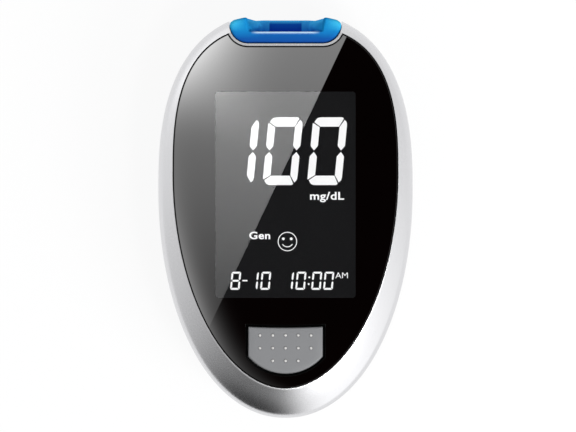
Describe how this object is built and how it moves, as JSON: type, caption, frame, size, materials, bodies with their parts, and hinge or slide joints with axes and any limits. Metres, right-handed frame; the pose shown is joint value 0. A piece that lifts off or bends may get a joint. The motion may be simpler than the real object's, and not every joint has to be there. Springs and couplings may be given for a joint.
{
  "type": "blood glucose meter",
  "caption": "Egg-shaped handheld blood glucose meter: silver bezel, glossy black lens over a tall display, broad front button, blue test strip port and a battery bay in the back.",
  "frame": {"origin": "middle of the footprint, on the plane that the back rests on", "axes": "+Z out of the display, +Y towards the test strip port, +X to the right of someone who reads the display"},
  "size_m": [0.061, 0.096, 0.026],
  "materials": {
    "silver_paint": "fine metallic silver paint on moulded plastic",
    "rear_shell": "fine spark-eroded texture",
    "lens_black": "high gloss clear plate, printed black from behind",
    "adhesive_black": "die-cut film",
    "foam_black": "closed-cell foam",
    "port_blue": "translucent, polished",
    "button_grey": "satin",
    "button_dark": "satin",
    "switch_cream": "moulded",
    "switch_black": "moulded",
    "display_glass": "polished, with polariser",
    "guide_clear": "frosted",
    "lamp_white": "moulded",
    "frame_white": "moulded",
    "elastomer": "banded elastomer",
    "board_green": "solder mask",
    "chip_black": "moulded",
    "can_steel": "drawn can",
    "connector_cream": "moulded",
    "contact_gold": "gold plated leaf",
    "jack_black": "moulded",
    "cell_jacket": "shrink-wrapped can",
    "contact_nickel": "nickel plated spring steel",
    "screw_steel": "zinc plated"
  },
  "bodies": {
    "meter": {"rear_case": "rear_shell", "front_bezel": "silver_paint", "front_lens": "lens_black", "lens_adhesive": "adhesive_black", "display_gasket": "foam_black", "strip_port": "port_blue", "button_switch": "switch_black", "display_upper_glass": "display_glass", "display_lower_glass": "display_glass", "backlight_guide": "guide_clear", "backlight_leds": "lamp_white", "display_frame": "frame_white", "display_connector": "elastomer", "circuit_board": "board_green", "main_processor": "chip_black", "memory_chip": "chip_black", "clock_crystal": "can_steel", "sounder": "chip_black", "strip_connector": "connector_cream", "strip_contacts": "contact_gold", "data_jack": "jack_black", "set_switch": "switch_black", "battery_left": "cell_jacket", "battery_right": "cell_jacket", "battery_plate": "contact_nickel", "battery_spring": "contact_nickel", "battery_link": "contact_nickel", "case_screws": "screw_steel", "board_screws": "screw_steel"},
    "main_button": {"main_button": "button_grey"},
    "main_plunger": {"button_plunger": "switch_cream"},
    "battery_cover": {"battery_cover": "rear_shell"},
    "set_button": {"set_button": "button_dark"},
    "set_plunger": {"set_plunger": "switch_cream"}
  },
  "joints": [
    {"name": "main_button_press", "type": "slide", "parent": "meter", "child": "main_button", "axis": [0, 0, -1], "range_m": [0, 0.0005], "stiffness_N_per_m": 300},
    {"name": "main_plunger_press", "type": "slide", "parent": "meter", "child": "main_plunger", "axis": [0, 0, -1], "range_m": [0, 0.0005]},
    {"name": "battery_cover_swing", "type": "hinge", "parent": "meter", "child": "battery_cover", "pos_m": [0, 0.0313, 0], "axis": [1, 0, 0], "range_deg": [0, 30]},
    {"name": "set_button_press", "type": "slide", "parent": "meter", "child": "set_button", "axis": [0, 0, 1], "range_m": [0, 0.0004], "stiffness_N_per_m": 300},
    {"name": "set_plunger_press", "type": "slide", "parent": "meter", "child": "set_plunger", "axis": [0, 0, 1], "range_m": [0, 0.0004]}
  ],
  "couplings": [
    {"joint": "main_plunger_press", "follows": "main_button_press", "ratio": 1},
    {"joint": "set_plunger_press", "follows": "set_button_press", "ratio": 1}
  ]
}
